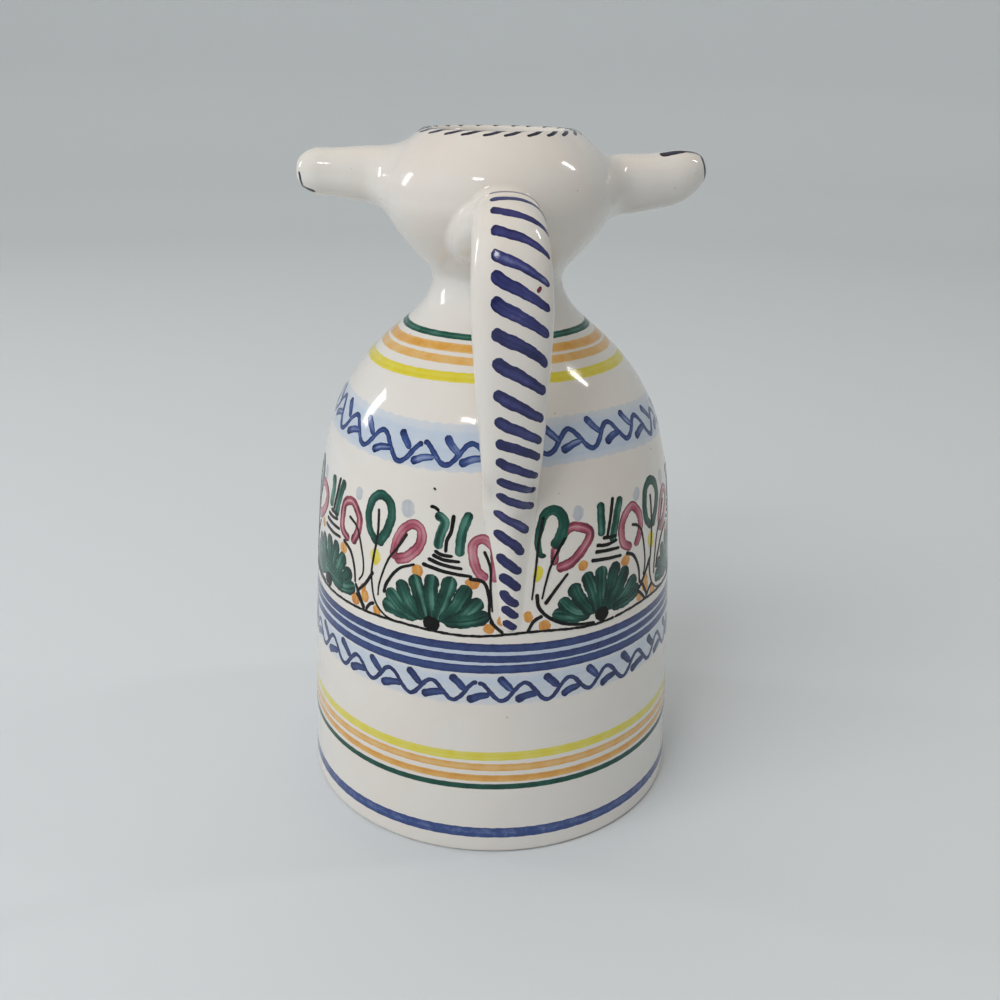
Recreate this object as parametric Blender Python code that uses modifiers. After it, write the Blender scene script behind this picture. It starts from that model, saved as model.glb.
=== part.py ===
"""Three-spouted pottery jug with a pulled handle: thrown body, thrown head, luted spouts and handle."""

import bmesh
import bpy
from math import atan2, copysign, cos, pi, radians, sin
from mathutils import Matrix, Vector

# All sizes are in metres
MM = 0.001

# Thrown body: a bell on a flat base, drawn in to a narrow neck
BASE_RADIUS = 68 * MM
BASE_EDGE_RADIUS = 1.6 * MM
FLOOR_THICKNESS = 7 * MM
WALL_HEIGHT = 108 * MM
WALL_TOP_RADIUS = 62.1 * MM
WALL_LEAN = 0.10
SHOULDER_RISE = 58 * MM
SHOULDER_END_RADIUS = 34 * MM
SHOULDER_END_ANGLE = radians(39.4)
NECK_RISE = 19 * MM
NECK_RADIUS = 21.7 * MM
WALL_THICKNESS = 4.7 * MM

# Thrown head: a squat bulb with an open, rounded rim
HEAD_LOWER_RISE = 25.3 * MM
HEAD_UPPER_RISE = 19.3 * MM
HEAD_RADIUS = 38.2 * MM
RIM_RADIUS = 26.4 * MM
RIM_ANGLE = radians(32)
HEAD_FOOT_ANGLE = radians(49)

# Hand-rolled spouts: each one tapers from a flared root to a round-nosed tip
SPOUT_RISE_ANGLE = radians(2)
SPOUT_FLARE = 5.0 * MM
SPOUT_FLARE_LENGTH = 10 * MM
SPOUT_BORE_RADIUS = 5.6 * MM
SPOUT_MOUTH_RADIUS = 3.2 * MM
SPOUT_LIP_RADIUS = 0.9 * MM
# Name, direction seen from above, height of the axis over the head's widest level,
# length outside the head, radius at the root and at the nose, length of the domed nose
SPOUTS = (
    ("left_spout", radians(172), 2.8 * MM, 27.5 * MM, 9.0 * MM, 7.9 * MM, 9.5 * MM),
    ("right_spout", radians(8), 1.0 * MM, 32.4 * MM, 9.7 * MM, 9.2 * MM, 14.5 * MM),
    ("front_spout", radians(90), 2.0 * MM, 30.0 * MM, 9.4 * MM, 8.6 * MM, 12.0 * MM),
)

# Pulled handle: thick where it leaves the head, thinning to a tail wiped down the wall
HANDLE_ROOT_DROP = 8 * MM
HANDLE_CROWN_RISE = 0.2 * MM
HANDLE_BULGE = 8.7 * MM
HANDLE_BULGE_DROP = 26 * MM
HANDLE_FOOT_HEIGHT = 124 * MM
HANDLE_TAIL_HEIGHT = 85 * MM
HANDLE_ROOT_WIDTH = 17.5 * MM
HANDLE_GRIP_WIDTH = 22.8 * MM
HANDLE_FOOT_WIDTH = 15.5 * MM
HANDLE_TAIL_WIDTH = 8.0 * MM
HANDLE_ROOT_DEPTH = 16.5 * MM
HANDLE_GRIP_DEPTH = 14.0 * MM
HANDLE_FOOT_DEPTH = 10.0 * MM
HANDLE_TAIL_DEPTH = 3.4 * MM
HANDLE_SQUARENESS = 2.3
# Share of its size that each of the last sections keeps, from the tip of the tail upward
TAIL_ROUNDING = (0.5, 0.93)

# Slip-filled clearance left between luted pieces
JOINT_GAP = 0.3 * MM

# Facets
TURN_STEPS = 56
SPOUT_STEPS = 24
HANDLE_SIDES = 20
HANDLE_STEPS = 12
CURVE_POINTS = 7

# Heights that follow from the rises above
SHOULDER_END_HEIGHT = WALL_HEIGHT + SHOULDER_RISE
SEAM_HEIGHT = SHOULDER_END_HEIGHT + NECK_RISE
WIDEST_HEIGHT = SEAM_HEIGHT + HEAD_LOWER_RISE
RIM_HEIGHT = WIDEST_HEIGHT + HEAD_UPPER_RISE

GLAZE_COLOUR = (0.72, 0.68, 0.63, 1.0)
GLAZE_ROUGHNESS = 0.12


# Profile helpers

def bezier(start, control_a, control_b, end, count):
    """Points along a cubic curve, without its first point."""
    points = []
    for step in range(1, count + 1):
        t = step / count
        s = 1 - t
        weights = (s ** 3, 3 * s * s * t, 3 * s * t * t, t ** 3)
        anchors = (start, control_a, control_b, end)
        points.append(tuple(sum(w * a[k] for w, a in zip(weights, anchors)) for k in (0, 1)))
    return points


def offset(points, distance):
    """A profile that runs downward, moved outward by distance along its own normals."""
    moved = []
    for index, (radius, height) in enumerate(points):
        before = points[max(index - 1, 0)]
        after = points[min(index + 1, len(points) - 1)]
        along = Vector((after[0] - before[0], after[1] - before[1])).normalized()
        moved.append((radius - along.y * distance, height + along.x * distance))
    return moved


def body_outline():
    """Outside of the body from the neck seam down to the base edge."""
    seam = (NECK_RADIUS, SEAM_HEIGHT)
    turn = (SHOULDER_END_RADIUS, SHOULDER_END_HEIGHT)
    wall_top = (WALL_TOP_RADIUS, WALL_HEIGHT)
    base = (BASE_RADIUS, BASE_EDGE_RADIUS)
    slope = Vector((cos(SHOULDER_END_ANGLE), -sin(SHOULDER_END_ANGLE)))
    neck_reach = 0.42 * NECK_RISE
    turn_reach = 0.38 * SHOULDER_RISE
    wall_reach = 0.52 * SHOULDER_RISE
    lower_reach = 0.27 * WALL_HEIGHT
    points = [seam]
    points += bezier(
        seam,
        (NECK_RADIUS - 0.02 * NECK_RADIUS, SEAM_HEIGHT - neck_reach),
        (turn[0] - slope.x * neck_reach, turn[1] - slope.y * neck_reach),
        turn, CURVE_POINTS)
    points += bezier(
        turn,
        (turn[0] + slope.x * turn_reach, turn[1] + slope.y * turn_reach),
        (wall_top[0] - WALL_LEAN * wall_reach, wall_top[1] + wall_reach),
        wall_top, CURVE_POINTS)
    points += bezier(
        wall_top,
        (wall_top[0] + WALL_LEAN * lower_reach, wall_top[1] - lower_reach),
        (BASE_RADIUS - 0.04 * lower_reach, base[1] + lower_reach),
        base, CURVE_POINTS)
    return points


def head_outline():
    """Outside of the head from the rim down to the neck seam."""
    rim = (RIM_RADIUS, RIM_HEIGHT)
    widest = (HEAD_RADIUS, WIDEST_HEIGHT)
    seam = (NECK_RADIUS, SEAM_HEIGHT + JOINT_GAP)
    rim_reach = 0.46 * (HEAD_RADIUS - RIM_RADIUS)
    foot_reach = 0.42 * HEAD_LOWER_RISE
    points = [rim]
    points += bezier(
        rim,
        (rim[0] + cos(RIM_ANGLE) * rim_reach, rim[1] - sin(RIM_ANGLE) * rim_reach),
        (widest[0], widest[1] + 0.5 * HEAD_UPPER_RISE),
        widest, CURVE_POINTS)
    points += bezier(
        widest,
        (widest[0], widest[1] - 0.36 * HEAD_LOWER_RISE),
        (seam[0] + cos(HEAD_FOOT_ANGLE) * foot_reach, seam[1] + sin(HEAD_FOOT_ANGLE) * foot_reach),
        seam, CURVE_POINTS)
    return points


def arc(centre, radius, start_angle, end_angle, count):
    """Points between the two ends of an arc, without either end."""
    span = end_angle - start_angle
    angles = [start_angle + span * step / (count + 1) for step in range(1, count + 1)]
    return [(centre[0] + radius * cos(a), centre[1] + radius * sin(a)) for a in angles]


# Object helpers

def clear_scene():
    for old in list(bpy.data.objects):
        bpy.data.objects.remove(old, do_unlink=True)


def new_collection(name):
    collection = bpy.data.collections.new(name)
    bpy.context.scene.collection.children.link(collection)
    return collection


def glaze(name):
    material = bpy.data.materials.new(name)
    material.use_nodes = True
    shader = material.node_tree.nodes["Principled BSDF"]
    shader.inputs["Base Color"].default_value = GLAZE_COLOUR
    shader.inputs["Roughness"].default_value = GLAZE_ROUGHNESS
    shader.inputs["Metallic"].default_value = 0.0
    return material


def new_object(name, mesh, collection):
    made = bpy.data.objects.new(name, mesh)
    collection.objects.link(made)
    return made


def revolve(name, profile, closed, steps, collection):
    """Turn a profile of (radius, height) points about Z with a Screw modifier."""
    count = len(profile)
    edges = [(index, index + 1) for index in range(count - 1)]
    if closed:
        edges.append((count - 1, 0))
    mesh = bpy.data.meshes.new(name)
    mesh.from_pydata([(radius, 0, height) for radius, height in profile], edges, [])
    made = new_object(name, mesh, collection)
    screw = made.modifiers.new("Turn", "SCREW")
    screw.axis = "Z"
    screw.steps = steps
    screw.render_steps = steps
    screw.use_merge_vertices = True
    screw.merge_threshold = 0.01 * MM
    screw.use_smooth_shade = True
    return made


def cut(piece, cutter):
    difference = piece.modifiers.new("Cut by " + cutter.name, "BOOLEAN")
    difference.operation = "DIFFERENCE"
    difference.solver = "EXACT"
    difference.object = cutter


def as_cutter(piece):
    piece.hide_render = True
    piece.display_type = "WIRE"
    return piece


# Sub-parts

def make_body(collection):
    """Bell-shaped pot: flat floor, leaning wall, round shoulder and open neck."""
    outside = body_outline()
    inside = [point for point in offset(outside, -WALL_THICKNESS) if point[1] > FLOOR_THICKNESS]
    inside[0] = (NECK_RADIUS - WALL_THICKNESS, SEAM_HEIGHT)
    floor_corner = (BASE_RADIUS - 2 * WALL_THICKNESS, FLOOR_THICKNESS)
    base_edge = (BASE_RADIUS - BASE_EDGE_RADIUS, BASE_EDGE_RADIUS)
    profile = [(0, FLOOR_THICKNESS), floor_corner]
    profile += inside[::-1]
    profile += outside
    profile += arc(base_edge, BASE_EDGE_RADIUS, 0, -pi / 2, 2)
    profile += [(base_edge[0], 0), (0, 0)]
    return revolve("body", profile, False, TURN_STEPS, collection)


def make_head(collection):
    """Squat bulb, open above at the rounded rim and below onto the neck."""
    outside = head_outline()
    inner_seam = (NECK_RADIUS - WALL_THICKNESS, SEAM_HEIGHT + JOINT_GAP)
    lowest_inside = SEAM_HEIGHT + WALL_THICKNESS
    inside = [p for p in offset(outside, -WALL_THICKNESS) if p[1] > lowest_inside and p[0] > inner_seam[0]]
    lip_outer = Vector(outside[0])
    lip_inner = Vector(inside[0])
    lip_centre = (lip_outer + lip_inner) / 2
    across = lip_outer - lip_centre
    start_angle = atan2(across.y, across.x)
    lip = arc(lip_centre, across.length, start_angle + pi, start_angle, 5)
    profile = [inner_seam] + inside[::-1] + lip + outside
    return revolve("head", profile, True, TURN_STEPS, collection)


def spout_placement(direction, lift):
    """Stand a spout's own axis along its direction, rising slightly from above the head's widest level."""
    turn = Matrix.Rotation(direction, 4, "Z") @ Matrix.Rotation(pi / 2 - SPOUT_RISE_ANGLE, 4, "Y")
    return Matrix.Translation((0, 0, WIDEST_HEIGHT + lift)) @ turn


def make_spout(spec, head_cutter, collection):
    """Bored, tapering spout with a domed nose and a flared root that is cut to saddle on the head."""
    name, direction, lift, length, root_radius, nose_radius, nose_length = spec
    root = HEAD_RADIUS - SPOUT_FLARE_LENGTH
    flare_end = HEAD_RADIUS + SPOUT_FLARE_LENGTH
    reach = HEAD_RADIUS + length
    nose_start = reach - nose_length
    lip_centre = (SPOUT_MOUTH_RADIUS + SPOUT_LIP_RADIUS, reach - SPOUT_LIP_RADIUS)
    lip_end = radians(50)
    lip_reach = Vector((cos(lip_end), sin(lip_end))) * SPOUT_LIP_RADIUS
    nose_end = (lip_centre[0] + lip_reach.x, lip_centre[1] + lip_reach.y)
    profile = [(SPOUT_MOUTH_RADIUS, lip_centre[1])]
    profile += arc(lip_centre, SPOUT_LIP_RADIUS, pi, lip_end, 3)
    profile.append(nose_end)
    profile += bezier(
        nose_end,
        (nose_end[0] + 0.45 * (nose_radius - nose_end[0]), nose_end[1] - 0.08 * nose_length),
        (nose_radius, nose_start + 0.45 * nose_length),
        (nose_radius, nose_start), 6)
    profile += bezier(
        (nose_radius, nose_start),
        (nose_radius, nose_start - 0.3 * (nose_start - flare_end)),
        (root_radius, flare_end + 0.3 * (nose_start - flare_end)),
        (root_radius, flare_end), 3)
    profile += bezier(
        (root_radius, flare_end),
        (root_radius, flare_end - 0.7 * SPOUT_FLARE_LENGTH),
        (root_radius + 0.4 * SPOUT_FLARE, HEAD_RADIUS),
        (root_radius + SPOUT_FLARE, root), 7)
    profile.append((SPOUT_BORE_RADIUS, root))
    profile.append((SPOUT_BORE_RADIUS, nose_start))
    spout = revolve(name, profile, True, SPOUT_STEPS, collection)
    spout.matrix_world = spout_placement(direction, lift)
    cut(spout, head_cutter)
    return spout


def make_bore_cutter(spec, collection):
    """Hole through the head's wall in line with a spout's bore."""
    name, direction, lift = spec[:3]
    start = HEAD_RADIUS - 4 * WALL_THICKNESS
    end = HEAD_RADIUS + WALL_THICKNESS
    profile = [(0, end), (SPOUT_BORE_RADIUS, end), (SPOUT_BORE_RADIUS, start), (0, start)]
    cutter = revolve(name + "_bore", profile, False, SPOUT_STEPS, collection)
    cutter.matrix_world = spout_placement(direction, lift)
    return as_cutter(cutter)


def make_solid_cutter(name, outline, collection):
    """Solid of a thrown piece's outside, grown by the luting clearance."""
    grown = offset(outline, JOINT_GAP)
    profile = [(0, grown[0][1])] + grown + [(0, grown[-1][1])]
    return as_cutter(revolve(name, profile, False, TURN_STEPS, collection))


def radius_at(outline, height):
    """Radius of an outline at a height, read between its points."""
    for upper, lower in zip(outline, outline[1:]):
        if upper[1] >= height >= lower[1]:
            share = (upper[1] - height) / (upper[1] - lower[1])
            return upper[0] + share * (lower[0] - upper[0])
    return outline[-1][0]


def handle_path():
    """Centre line of the handle as (distance from axis, height): crown, grip, foot and tail."""
    outline = body_outline()
    root = (HEAD_RADIUS - 2 * WALL_THICKNESS, WIDEST_HEIGHT - HANDLE_ROOT_DROP)
    foot = (radius_at(outline, HANDLE_FOOT_HEIGHT), HANDLE_FOOT_HEIGHT)
    grip = (foot[0] + HANDLE_BULGE, WIDEST_HEIGHT - HANDLE_BULGE_DROP)
    middle_height = (HANDLE_FOOT_HEIGHT + HANDLE_TAIL_HEIGHT) / 2
    middle = (radius_at(outline, middle_height), middle_height)
    tail = (radius_at(outline, HANDLE_TAIL_HEIGHT), HANDLE_TAIL_HEIGHT)
    span = grip[0] - root[0]
    drop = grip[1] - foot[1]
    crown_height = WIDEST_HEIGHT + HANDLE_CROWN_RISE
    upper = bezier(
        root,
        (root[0] + 0.45 * span, crown_height),
        (grip[0] - 0.06 * span, crown_height),
        grip, HANDLE_STEPS)
    lower = bezier(
        grip,
        (grip[0] + 0.03 * span, grip[1] - 0.42 * drop),
        (foot[0] + 0.16 * span, foot[1] + 0.22 * drop),
        foot, HANDLE_STEPS)
    end = bezier(foot, middle, middle, tail, HANDLE_STEPS)
    return [root] + upper, lower, end


def steps_between(start, end, count):
    """Evenly stepped values after start, up to end."""
    return [start + (end - start) * step / count for step in range(1, count + 1)]


def handle_sizes(root, grip, foot, tail):
    """One of the handle's section sizes along its whole path, rounded off at the tail."""
    sizes = [root] + steps_between(root, grip, HANDLE_STEPS)
    sizes += steps_between(grip, foot, HANDLE_STEPS)
    sizes += [tail + (foot - tail) * (1 - step / HANDLE_STEPS) ** 2 for step in range(1, HANDLE_STEPS + 1)]
    for back, share in enumerate(TAIL_ROUNDING, start=1):
        sizes[-back] *= share
    return sizes


def oval(width, depth):
    """Section of the handle: a rounded rectangle between an ellipse and a box."""
    power = 2 / HANDLE_SQUARENESS
    points = []
    for side in range(HANDLE_SIDES):
        angle = 2 * pi * side / HANDLE_SIDES
        across = copysign(abs(cos(angle)) ** power, cos(angle))
        out = copysign(abs(sin(angle)) ** power, sin(angle))
        points.append((across * width / 2, out * depth / 2))
    return points


def make_handle(head_cutter, body_cutter, collection):
    """Loft of oval sections along the handle's path, cut to sit on the head and the wall."""
    upper, lower, end = handle_path()
    path = [Vector((0, -distance, height)) for distance, height in upper + lower + end]
    widths = handle_sizes(HANDLE_ROOT_WIDTH, HANDLE_GRIP_WIDTH, HANDLE_FOOT_WIDTH, HANDLE_TAIL_WIDTH)
    depths = handle_sizes(HANDLE_ROOT_DEPTH, HANDLE_GRIP_DEPTH, HANDLE_FOOT_DEPTH, HANDLE_TAIL_DEPTH)
    sideways = Vector((1, 0, 0))
    shape = bmesh.new()
    rings = []
    for index, centre in enumerate(path):
        along = path[min(index + 1, len(path) - 1)] - path[max(index - 1, 0)]
        outward = along.normalized().cross(sideways)
        section = oval(widths[index], depths[index])
        rings.append([shape.verts.new(centre + sideways * x + outward * y) for x, y in section])
    for ring, following in zip(rings, rings[1:]):
        for side in range(HANDLE_SIDES):
            other = (side + 1) % HANDLE_SIDES
            shape.faces.new((ring[side], ring[other], following[other], following[side]))
    shape.faces.new(rings[0])
    shape.faces.new(rings[-1])
    bmesh.ops.recalc_face_normals(shape, faces=shape.faces)
    mesh = bpy.data.meshes.new("handle")
    shape.to_mesh(mesh)
    shape.free()
    mesh.shade_smooth()
    handle = new_object("handle", mesh, collection)
    cut(handle, head_cutter)
    cut(handle, body_cutter)
    return handle


def main():
    clear_scene()
    jug = new_collection("spouted_jug")
    cutters = new_collection("cutters")
    head_cutter = make_solid_cutter("head_outside", head_outline(), cutters)
    body_cutter = make_solid_cutter("body_outside", body_outline(), cutters)
    pieces = [make_body(jug)]
    head = make_head(jug)
    pieces.append(head)
    for spec in SPOUTS:
        cut(head, make_bore_cutter(spec, cutters))
        pieces.append(make_spout(spec, head_cutter, jug))
    pieces.append(make_handle(head_cutter, body_cutter, jug))
    for piece in pieces:
        piece.data.materials.append(glaze(piece.name + "_glaze"))


main()
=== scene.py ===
"""Looks of the three-spouted jug: glazed skins over the solids, with hand-brushed decoration."""

import bpy
import numpy as np
from mathutils import Matrix, Vector
from numpy import array, cos, diff, gradient, interp, linspace, maximum, ones, pi, radians
from numpy import sin, stack, vstack


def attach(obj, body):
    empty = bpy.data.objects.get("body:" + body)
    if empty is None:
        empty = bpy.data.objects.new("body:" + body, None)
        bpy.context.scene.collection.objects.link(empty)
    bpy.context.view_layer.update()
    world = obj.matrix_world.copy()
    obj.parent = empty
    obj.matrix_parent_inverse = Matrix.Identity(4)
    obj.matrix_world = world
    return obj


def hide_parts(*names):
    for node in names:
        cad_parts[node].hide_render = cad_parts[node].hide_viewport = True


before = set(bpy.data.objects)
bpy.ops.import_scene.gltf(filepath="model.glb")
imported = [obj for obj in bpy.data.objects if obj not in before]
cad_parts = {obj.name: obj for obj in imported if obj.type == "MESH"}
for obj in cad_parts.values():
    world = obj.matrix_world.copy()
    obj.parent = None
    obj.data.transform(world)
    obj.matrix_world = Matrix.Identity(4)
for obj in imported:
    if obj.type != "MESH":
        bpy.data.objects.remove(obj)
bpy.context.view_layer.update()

# Shapes are worked out in millimetres and turned into metres when a mesh is made
MM = 0.001
SEED = 20

# Thrown body, close to the solids
BASE_RADIUS = 68.0
BASE_EDGE_RADIUS = 1.6
FLOOR_THICKNESS = 7.0
WALL_HEIGHT = 108.0
WALL_TOP_RADIUS = 62.1
WALL_LEAN = 0.10
SHOULDER_RISE = 58.0
SHOULDER_END_RADIUS = 34.0
SHOULDER_END_ANGLE = radians(39.4)
NECK_RISE = 19.0
NECK_RADIUS = 21.7
WALL_THICKNESS = 4.7

# Thrown head, close to the solids
HEAD_LOWER_RISE = 25.3
HEAD_UPPER_RISE = 19.15
HEAD_RADIUS = 38.2
RIM_RADIUS = 24.8
RIM_ANGLE = radians(32)
HEAD_FOOT_ANGLE = radians(49)
# How far below and above the neck seam the two thrown pieces were smoothed together
NECK_BLEND = 4.0

# Spouts, close to the solids. Each one: direction from +X, height of its axis over the head's widest level,
# length outside the head, radius at the root and at the nose, length of the round nose, how far the nose
# turns up, and how broadly the joint was smoothed above
SPOUT_RISE_ANGLE = radians(2)
SPOUT_BORE_RADIUS = 5.6
SPOUT_MOUTH_RADIUS = 2.6
SPOUT_LIP_RADIUS = 0.8
SPOUT_FILLET_START = 6.0
SPOUT_FLARE = 4.6
SPOUT_SIDE_FLARE = 6.2
SPOUTS = {
    "left_spout": (radians(172), 3.1, 27.4, 8.8, 7.6, 8.2, 0.0, 4.0),
    "right_spout": (radians(8), 0.7, 32.2, 9.7, 9.0, 12.5, 3.6, 2.0),
    "front_spout": (radians(90), 2.0, 29.8, 9.4, 8.5, 10.0, 1.0, 4.0),
}
# The ring of the bore cutter is turned by this part of a step, so that no corner falls on the head's seam
CUTTER_TURN = 0.37

# Pulled handle, close to the solids. Widths and depths are at its root, grip, foot and tail
HANDLE_ROOT_DROP = 8.0
HANDLE_CROWN_RISE = 0.2
HANDLE_BULGE = 8.35
HANDLE_BULGE_DROP = 26.0
HANDLE_FOOT_HEIGHT = 124.0
HANDLE_TAIL_HEIGHT = 82.8
HANDLE_WIDTHS = (18.0, 23.4, 15.5, 6.5)
HANDLE_DEPTHS = (16.5, 14.0, 10.0, 1.8)
HANDLE_SQUARENESS = 2.3
HANDLE_FILLET_START = 8.0
HANDLE_FLARE = 1.4
# Below its root, on the left, the clay was pressed out into a pad
PAD_ANGLE = radians(241)
PAD_REACH = 11.0
PAD_BULGE = 3.8
# The handle was pressed on slightly askew: its bearing at the root and at the end of the tail
HANDLE_SKEW = (radians(-1.6), radians(1.1))

# A luted joint: rows of its sweep, how far its curve runs out along the wall, and the rows by which it ends
# in the wall, each with its distance past the flare and its depth
LUTED_ROWS = 16
LUTED_RUN_OUT = 1.15
LUTED_EDGE = ((0.6, 0.003), (1.2, 0.010), (1.7, 0.03), (2.1, 0.08), (2.3, 0.5))

SHOULDER_END_HEIGHT = WALL_HEIGHT + SHOULDER_RISE
SEAM_HEIGHT = SHOULDER_END_HEIGHT + NECK_RISE
SEAM_MIDDLE = SEAM_HEIGHT + 0.15
WIDEST_HEIGHT = SEAM_HEIGHT + HEAD_LOWER_RISE
RIM_HEIGHT = WIDEST_HEIGHT + HEAD_UPPER_RISE

# Mesh fineness, and how far a joint's points are sent to meet the wall
TURN_STEPS = 288
CURVE_STEPS = 46
RING_STEPS = 56
DROP_REACH = 45.0
DROP_STEPS = 600

# The photograph's camera: a square frame, focal length in pixels, place and attitude
PHOTO_SIZE = 1000
PHOTO_FOCAL = 1052.1
SENSOR = 36.0
CAMERA_DISTANCE = 355.96
CAMERA_HEIGHT = 243.66
CAMERA_BEARING = radians(-4.3)
CAMERA_PITCH = radians(21.696)
CAMERA_YAW = radians(0.359)
CAMERA_ROLL = radians(-0.979)


# Curves and turned surfaces

def bezier(start, control_a, control_b, end, count=CURVE_STEPS):
    t = linspace(0, 1, count)[:, None]
    a, b, c, d = (array(p, float) for p in (start, control_a, control_b, end))
    return (1 - t) ** 3 * a + 3 * (1 - t) ** 2 * t * b + 3 * (1 - t) * t * t * c + t ** 3 * d


def arc(centre, radius, start, end, count):
    angles = linspace(start, end, count)
    return stack([centre[0] + radius * cos(angles), centre[1] + radius * sin(angles)], 1)


def joined(*runs):
    """Runs of points end to end, without repeated points."""
    points = vstack(runs)
    keep = ones(len(points), bool)
    keep[1:] = np.hypot(*diff(points, axis=0).T) > 1e-4
    return points[keep]


def smoothstep(low, high, value):
    t = np.clip((value - low) / (high - low), 0, 1)
    return t * t * (3 - 2 * t)


def unit(vectors):
    return vectors / maximum(np.linalg.norm(vectors, axis=-1, keepdims=True), 1e-9)


def run_length(steps):
    """Length run after each step, from 0 at the start."""
    return np.concatenate([[0], np.cumsum(np.hypot(*steps.T))])


def full_turn(count):
    return linspace(0, 2 * pi, count, endpoint=False)


def normal_of(surface, turn, along, turn_step, step):
    """Normal of a surface that has places by turn and length, from places a little to each side."""
    across = surface.at(turn + turn_step, along) - surface.at(turn - turn_step, along)
    ahead = surface.at(turn, along + step) - surface.at(turn, along - step)
    return unit(np.cross(across, ahead))


def body_outline():
    """Outside of the body, from the base edge up to the neck seam."""
    base = array([BASE_RADIUS, BASE_EDGE_RADIUS])
    wall_top = array([WALL_TOP_RADIUS, WALL_HEIGHT])
    turn = array([SHOULDER_END_RADIUS, SHOULDER_END_HEIGHT])
    slope = array([cos(SHOULDER_END_ANGLE), -sin(SHOULDER_END_ANGLE)])
    lean = array([-WALL_LEAN, 1])
    low, high, neck = 0.27 * WALL_HEIGHT, 0.52 * SHOULDER_RISE, 0.42 * NECK_RISE
    return joined(
        bezier(base, base + low * array([-0.04, 1]), wall_top - low * lean, wall_top),
        bezier(wall_top, wall_top + high * lean, turn + 0.38 * SHOULDER_RISE * slope, turn),
        bezier(turn, turn - neck * slope, (0.98 * NECK_RADIUS, SEAM_HEIGHT - neck),
               (NECK_RADIUS, SEAM_MIDDLE), CURVE_STEPS // 2))


def head_outline():
    """Outside of the head, from the neck seam up to the start of the lip."""
    seam = array([NECK_RADIUS, SEAM_MIDDLE])
    widest = array([HEAD_RADIUS, WIDEST_HEIGHT])
    rim = array([RIM_RADIUS, RIM_HEIGHT])
    foot = 0.42 * HEAD_LOWER_RISE * array([cos(HEAD_FOOT_ANGLE), sin(HEAD_FOOT_ANGLE)])
    top = 0.46 * (HEAD_RADIUS - RIM_RADIUS) * array([cos(RIM_ANGLE), -sin(RIM_ANGLE)])
    return joined(
        bezier(seam, seam + foot, widest - (0, 0.36 * HEAD_LOWER_RISE), widest),
        bezier(widest, widest + (0, 0.5 * HEAD_UPPER_RISE), rim + top, rim))


def lip_arc():
    """Half-round lip from the outside of the rim over its crest to the inside."""
    centre = (RIM_RADIUS - sin(RIM_ANGLE) * WALL_THICKNESS / 2,
              RIM_HEIGHT - cos(RIM_ANGLE) * WALL_THICKNESS / 2)
    start = pi / 2 - RIM_ANGLE
    return arc(centre, WALL_THICKNESS / 2, start, start + pi, 20)


def inset(outline, distance):
    """An upward outline moved inward by distance along its normals."""
    along = unit(gradient(outline, axis=0))
    return outline + distance * stack([-along[:, 1], along[:, 0]], 1)


def neck_blend():
    """Smooth curve through the neck, from a little below the seam to a little above it."""
    body, head = body_outline(), head_outline()
    low = body[body[:, 1] < SEAM_MIDDLE - NECK_BLEND]
    high = head[head[:, 1] > SEAM_MIDDLE + NECK_BLEND]
    start, end = low[-1], high[0]
    reach = 0.42 * np.hypot(*(end - start))
    leaving, arriving = reach * unit(start - low[-3]), reach * unit(high[2] - end)
    return low, bezier(start, start + leaving, end - arriving, end, 25), high


def thrown_outlines():
    """Outsides of body and head. At the neck each runs on a little way under the other's surface."""
    low, curve, high = neck_blend()
    middle = len(curve) // 2
    tuck = stack([array([0.02, 0.05, 0.1, 0.2, 0.5]), np.zeros(5)], 1)
    over = curve[middle + 1:middle + 6] - tuck
    under = curve[middle - 5:middle] - tuck[::-1]
    return joined(low, curve[:middle + 1], over), joined(under, curve[middle:], high, lip_arc())


class Turned:
    """A hand-thrown surface: places by bearing from the handle and length along the outline."""

    def __init__(self, outline, wobble, still_end):
        self.outline, self.wobble, self.still_end = outline, wobble, still_end
        self.length = run_length(diff(outline, axis=0))

    def reach(self, height):
        """Length along the outline at a height below its top."""
        top = int(np.argmax(self.outline[:, 1]))
        return interp(height, self.outline[:top + 1, 1], self.length[:top + 1])

    def radius(self, along):
        return interp(along, self.length, self.outline[:, 0])

    def scale(self, path):
        """Millimetres per unit of each path coordinate."""
        return stack([self.radius(path[:, 1]), ones(len(path))], 1)

    def at(self, bearing, along):
        """Place on the surface, with the slow swell and throwing rings of a hand-thrown wall."""
        end = self.length[-1]
        ease = smoothstep(0, 30, along) * smoothstep(end + 1, end - self.still_end, along)
        swell = 0.5 * sin(3 * bearing + along / 38 + 1) + 0.5 * sin(2 * bearing - along / 21)
        rings = sin(along / 1.45 + 0.6 * sin(bearing + along / 30)) * (0.6 + 0.4 * sin(along / 17))
        radius = self.radius(along) + self.wobble * ease * (swell - 0.5 + 0.16 * rings)
        height = interp(along, self.length, self.outline[:, 1])
        return stack([radius * sin(bearing), -radius * cos(bearing), height + 0 * bearing], -1)

    def normal(self, bearing, along):
        return normal_of(self, bearing, along, 0.2 / maximum(self.radius(along), 1), 0.2)


BODY_OUTLINE, HEAD_OUTLINE = thrown_outlines()
BODY = Turned(BODY_OUTLINE, wobble=0.16, still_end=24.0)
HEAD = Turned(HEAD_OUTLINE, wobble=0.12, still_end=26.0)


# Mesh helpers

def make_object(name, mesh):
    made = bpy.data.objects.new(name, mesh)
    bpy.context.scene.collection.objects.link(made)
    return made


def make_mesh(name, points, faces):
    mesh = bpy.data.meshes.new(name)
    mesh.from_pydata((np.asarray(points) * MM).tolist(), [], faces)
    mesh.update()
    mesh.shade_smooth()
    return mesh


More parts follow.
